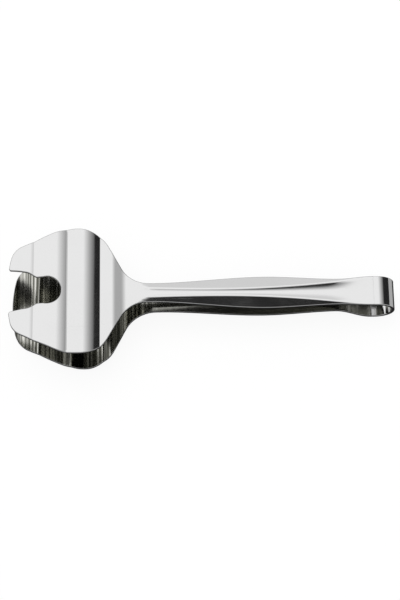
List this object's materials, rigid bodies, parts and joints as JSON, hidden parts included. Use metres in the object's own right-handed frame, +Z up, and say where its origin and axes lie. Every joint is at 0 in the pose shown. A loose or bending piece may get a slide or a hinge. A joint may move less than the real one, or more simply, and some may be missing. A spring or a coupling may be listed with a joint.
{
  "type": "ice tongs",
  "caption": "One-piece spring tongs in polished steel: a fluted handle bent double at a U bow, with wide corrugated jaws, the upper one notched.",
  "frame": {"origin": "bottom centre of the bounding box, on the surface that the tongs lie on", "axes": "+X from the jaws to the bow, +Y across the jaws, +Z up through both arms"},
  "size_m": [0.1796, 0.061, 0.0275],
  "materials": {
    "polished_steel": "mirror polished stainless steel"
  },
  "bodies": {
    "bow": {"spring_bow": "polished_steel"},
    "upper_arm": {"upper_handle": "polished_steel", "notched_jaw": "polished_steel"},
    "lower_arm": {"lower_handle": "polished_steel", "plain_jaw": "polished_steel"}
  },
  "joints": [
    {"name": "upper_arm_flex", "type": "hinge", "parent": "bow", "child": "upper_arm", "pos_m": [0.07945, 0, 0.01654], "axis": [0, -1, 0], "range_deg": [0, 3.2], "stiffness_Nm_per_rad": 17},
    {"name": "lower_arm_flex", "type": "hinge", "parent": "bow", "child": "lower_arm", "pos_m": [0.07908, 0, 0.00075], "axis": [0, 1, 0], "range_deg": [0, 3.2], "stiffness_Nm_per_rad": 17}
  ],
  "couplings": [
    {"joint": "lower_arm_flex", "follows": "upper_arm_flex", "ratio": 1}
  ]
}
